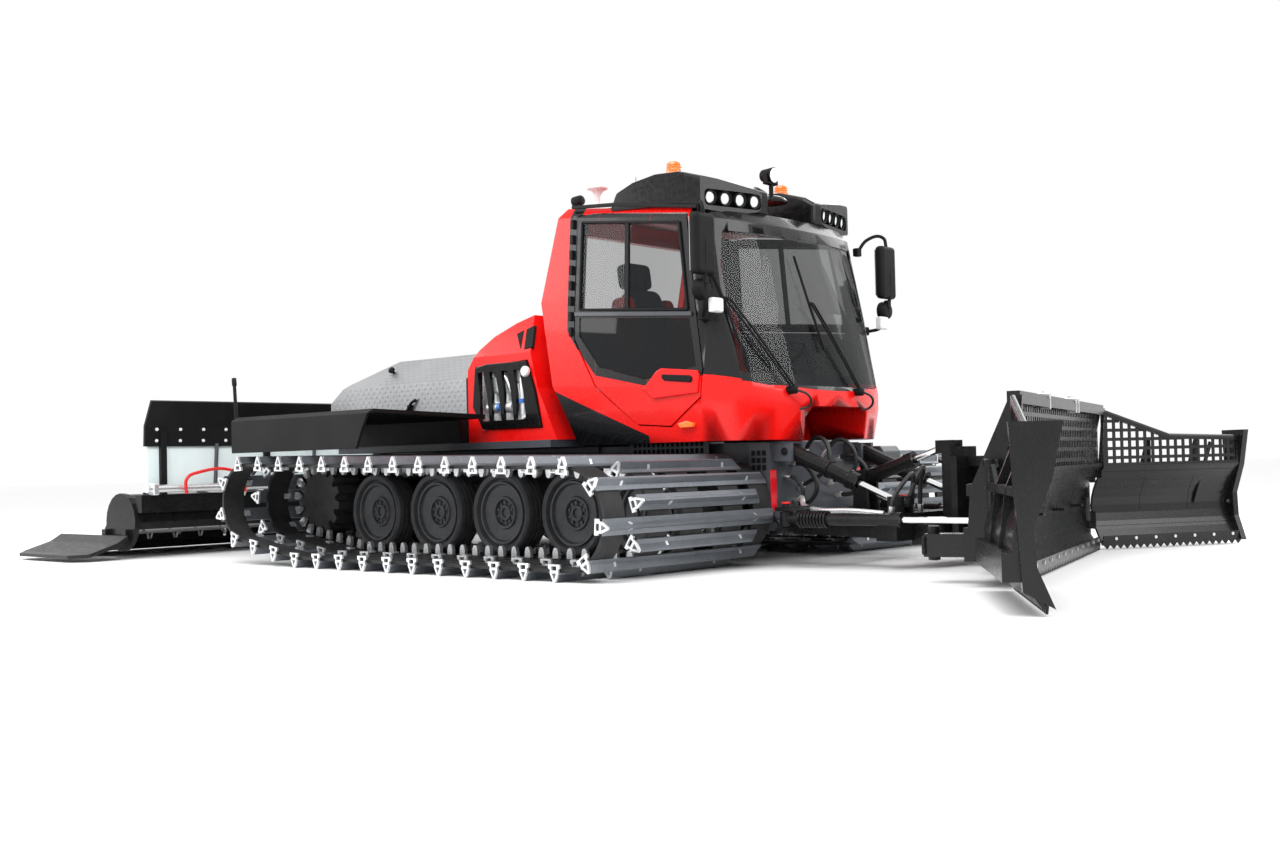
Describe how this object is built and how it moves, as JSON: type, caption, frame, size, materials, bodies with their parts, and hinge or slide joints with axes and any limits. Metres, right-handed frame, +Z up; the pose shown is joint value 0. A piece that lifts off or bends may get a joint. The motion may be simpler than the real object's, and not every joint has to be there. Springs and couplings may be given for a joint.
{
  "type": "snowcat groomer",
  "caption": "Tracked snow groomer with a tilting cab, a front blade with hinged wings, a covered load deck and a rear tiller with a smoothing mat.",
  "frame": {"origin": "on the ground under the middle of the whole machine, with the tracks' bars standing on z = 0", "axes": "+X forward to the blade, +Y to the machine's left, +Z up"},
  "size_m": [9.1167, 5.2, 2.6542],
  "materials": {
    "dark_grey_paint": "satin",
    "satin_black": "satin",
    "engine_casting": "rough",
    "red_paint": "gloss",
    "gloss_black": "gloss",
    "door_black": "gloss",
    "track_bar": "worn",
    "tyre_rubber": "matt",
    "sprocket_black": "satin",
    "tread_plate": "raised diamond pattern",
    "clear_glass": "clear",
    "seat_cloth": "woven",
    "black_steel": "satin",
    "rod_chrome": "polished",
    "blade_black": "gloss",
    "clear_sheet": "clear, faintly tinted",
    "tiller_black": "satin",
    "cutter_steel": "worn",
    "mat_rubber": "smooth"
  },
  "bodies": {
    "root": {"chassis_frame": "dark_grey_paint", "load_deck": "satin_black", "engine_block": "engine_casting", "engine_fairing": "red_paint", "side_cover_right": "gloss_black", "side_cover_left": "gloss_black", "fender_right": "satin_black", "fender_left": "satin_black", "track_right": "track_bar", "track_left": "track_bar", "road_wheels_right": "tyre_rubber", "road_wheels_left": "tyre_rubber", "drive_axle": "sprocket_black"},
    "deck_lid": {"deck_cover": "tread_plate"},
    "cab": {"cab_shell": "red_paint", "windshield": "clear_glass", "roof_visor": "gloss_black", "mirror_right": "satin_black", "mirror_left": "satin_black", "seat_driver": "seat_cloth", "seat_passenger": "seat_cloth", "dashboard": "satin_black"},
    "tiller_unit": {"tiller_housing": "tiller_black", "finisher": "mat_rubber", "rear_guard": "satin_black", "snow_curtain": "clear_sheet"},
    "door_right": {"door_right": "door_black"},
    "door_left": {"door_left": "door_black"},
    "searchlight": {"searchlight": "satin_black"},
    "steering_wheel": {"steering_wheel": "satin_black"},
    "push_frame": {"push_frame": "black_steel"},
    "lift_barrel_right": {"lift_barrel_right": "black_steel"},
    "lift_barrel_left": {"lift_barrel_left": "black_steel"},
    "lift_rod_right": {"lift_rod_right": "rod_chrome"},
    "lift_rod_left": {"lift_rod_left": "rod_chrome"},
    "pitch_barrel": {"pitch_barrel": "black_steel"},
    "pitch_rod": {"pitch_rod": "rod_chrome"},
    "pitch_head": {"pitch_head": "black_steel"},
    "roll_frame": {"roll_frame": "black_steel"},
    "blade": {"blade": "blade_black"},
    "wing_right": {"wing_right": "blade_black"},
    "wing_left": {"wing_left": "blade_black"},
    "angle_barrel_right": {"angle_barrel_right": "black_steel"},
    "angle_barrel_left": {"angle_barrel_left": "black_steel"},
    "angle_rod_right": {"angle_rod_right": "rod_chrome"},
    "angle_rod_left": {"angle_rod_left": "rod_chrome"},
    "tiller_frame": {"tiller_frame": "black_steel"},
    "tiller_barrel": {"tiller_barrel": "black_steel"},
    "tiller_rod": {"tiller_rod": "rod_chrome"},
    "swing_head": {"swing_head": "black_steel"},
    "tiller_shaft": {"tiller_shaft": "cutter_steel"},
    "side_flap_right": {"side_flap_right": "mat_rubber"},
    "side_flap_left": {"side_flap_left": "mat_rubber"}
  },
  "joints": [
    {"name": "cab_tilt", "type": "hinge", "parent": "root", "child": "cab", "pos_m": [0.9, 0.9, 0.9], "axis": [1, 0, 0], "range_deg": [-40, 0]},
    {"name": "door_right", "type": "hinge", "parent": "cab", "child": "door_right", "pos_m": [0.455, -0.93, 1.6], "axis": [0, 0, -1], "range_deg": [0, 75]},
    {"name": "door_left", "type": "hinge", "parent": "cab", "child": "door_left", "pos_m": [0.455, 0.93, 1.6], "axis": [0, 0, 1], "range_deg": [0, 75]},
    {"name": "deck_lid", "type": "hinge", "parent": "root", "child": "deck_lid", "pos_m": [-0.64, 0, 1.5], "axis": [0, 1, 0], "range_deg": [0, 60]},
    {"name": "searchlight_pan", "type": "hinge", "parent": "cab", "child": "searchlight", "pos_m": [1.47, 0, 2.5], "axis": [0, 0, 1], "range_deg": [-170, 170]},
    {"name": "steering", "type": "hinge", "parent": "cab", "child": "steering_wheel", "pos_m": [1.27, 0.36, 1.385], "axis": [-0.5408, 0, 0.8412], "range_deg": [-120, 120]},
    {"name": "blade_lift", "type": "hinge", "parent": "root", "child": "push_frame", "pos_m": [1.87, 0, 0.26], "axis": [0, -1, 0], "range_deg": [-6, 16]},
    {"name": "blade_pitch", "type": "hinge", "parent": "push_frame", "child": "pitch_head", "pos_m": [2.8, 0, 0.2], "axis": [0, 1, 0], "range_deg": [-6, 6]},
    {"name": "blade_tilt", "type": "hinge", "parent": "pitch_head", "child": "roll_frame", "pos_m": [2.93, 0, 0.4], "axis": [1, 0, 0], "range_deg": [-5, 5]},
    {"name": "blade_angle", "type": "hinge", "parent": "roll_frame", "child": "blade", "pos_m": [3.05, 0, 0.4], "axis": [0, 0, 1], "range_deg": [-40.5, 9.5]},
    {"name": "wing_right", "type": "hinge", "parent": "blade", "child": "wing_right", "pos_m": [3.7415, -1.3337, 0.36], "axis": [0, 0, 1], "range_deg": [-28, 36]},
    {"name": "wing_left", "type": "hinge", "parent": "blade", "child": "wing_left", "pos_m": [2.9559, 1.4993, 0.36], "axis": [0, 0, -1], "range_deg": [-56, 8]},
    {"name": "tiller_lift", "type": "hinge", "parent": "root", "child": "tiller_frame", "pos_m": [-2.36, 0, 0.56], "axis": [0, 1, 0], "range_deg": [-5, 25]},
    {"name": "tiller_swing", "type": "hinge", "parent": "tiller_frame", "child": "swing_head", "pos_m": [-2.98, 0, 0.52], "axis": [0, 0, 1], "range_deg": [-7, 7]},
    {"name": "tiller_roll", "type": "hinge", "parent": "swing_head", "child": "tiller_unit", "pos_m": [-3.12, 0, 0.42], "axis": [1, 0, 0], "range_deg": [-5, 6]},
    {"name": "tiller_shaft", "type": "hinge", "parent": "tiller_unit", "child": "tiller_shaft", "pos_m": [-3.42, 0, 0.285], "axis": [0, 1, 0], "continuous": true},
    {"name": "side_flap_right", "type": "hinge", "parent": "tiller_unit", "child": "side_flap_right", "pos_m": [-3.46, -2.16, 0.2], "axis": [-1, 0, 0], "range_deg": [0, 100]},
    {"name": "side_flap_left", "type": "hinge", "parent": "tiller_unit", "child": "side_flap_left", "pos_m": [-3.46, 2.16, 0.2], "axis": [1, 0, 0], "range_deg": [0, 100]},
    {"name": "lift_barrel_right", "type": "hinge", "parent": "root", "child": "lift_barrel_right", "pos_m": [1.87, -0.4, 0.715], "axis": [0, -1, 0], "range_deg": [-5.5, 14]},
    {"name": "lift_rod_right", "type": "slide", "parent": "lift_barrel_right", "child": "lift_rod_right", "axis": [0.9227, 0, -0.3854], "range_m": [-0.13, 0.05]},
    {"name": "lift_barrel_left", "type": "hinge", "parent": "root", "child": "lift_barrel_left", "pos_m": [1.87, 0.4, 0.715], "axis": [0, -1, 0], "range_deg": [-5.5, 14]},
    {"name": "lift_rod_left", "type": "slide", "parent": "lift_barrel_left", "child": "lift_rod_left", "axis": [0.9227, 0, -0.3854], "range_m": [-0.13, 0.05]},
    {"name": "pitch_barrel", "type": "hinge", "parent": "push_frame", "child": "pitch_barrel", "pos_m": [2.16, 0, 0.53], "axis": [0, 1, 0], "range_deg": [-2.5, 2.5]},
    {"name": "pitch_rod", "type": "slide", "parent": "pitch_barrel", "child": "pitch_rod", "axis": [0.9503, 0, 0.3113], "range_m": [-0.095, 0.095]},
    {"name": "angle_barrel_right", "type": "hinge", "parent": "push_frame", "child": "angle_barrel_right", "pos_m": [2.02, -0.68, 0.3], "axis": [0, 0, 1], "range_deg": [-3, 3]},
    {"name": "angle_rod_right", "type": "slide", "parent": "angle_barrel_right", "child": "angle_rod_right", "axis": [0.9966, 0.0821, 0], "range_m": [-0.44, 0.11]},
    {"name": "angle_barrel_left", "type": "hinge", "parent": "push_frame", "child": "angle_barrel_left", "pos_m": [2.02, 0.68, 0.3], "axis": [0, 0, 1], "range_deg": [-3, 3]},
    {"name": "angle_rod_left", "type": "slide", "parent": "angle_barrel_left", "child": "angle_rod_left", "axis": [0.998, -0.0631, 0], "range_m": [-0.11, 0.44]},
    {"name": "tiller_barrel", "type": "hinge", "parent": "root", "child": "tiller_barrel", "pos_m": [-2.36, 0, 0.9], "axis": [0, 1, 0], "range_deg": [-5, 21]},
    {"name": "tiller_rod", "type": "slide", "parent": "tiller_barrel", "child": "tiller_rod", "axis": [-0.9201, 0, -0.3916], "range_m": [-0.15, 0.04]}
  ],
  "couplings": [
    {"joint": "lift_barrel_right", "follows": "blade_lift", "ratio": 0.82},
    {"joint": "lift_rod_right", "follows": "blade_lift", "m_per_rad": -0.43},
    {"joint": "lift_barrel_left", "follows": "blade_lift", "ratio": 0.82},
    {"joint": "lift_rod_left", "follows": "blade_lift", "m_per_rad": -0.43},
    {"joint": "pitch_barrel", "follows": "blade_pitch", "ratio": 0.165},
    {"joint": "pitch_rod", "follows": "blade_pitch", "m_per_rad": 0.511},
    {"joint": "angle_barrel_right", "follows": "blade_angle", "ratio": 0.03},
    {"joint": "angle_rod_right", "follows": "blade_angle", "m_per_rad": 0.605},
    {"joint": "angle_barrel_left", "follows": "blade_angle", "ratio": 0.03},
    {"joint": "angle_rod_left", "follows": "blade_angle", "m_per_rad": -0.605},
    {"joint": "tiller_barrel", "follows": "tiller_lift", "ratio": 0.82},
    {"joint": "tiller_rod", "follows": "tiller_lift", "m_per_rad": -0.327}
  ]
}
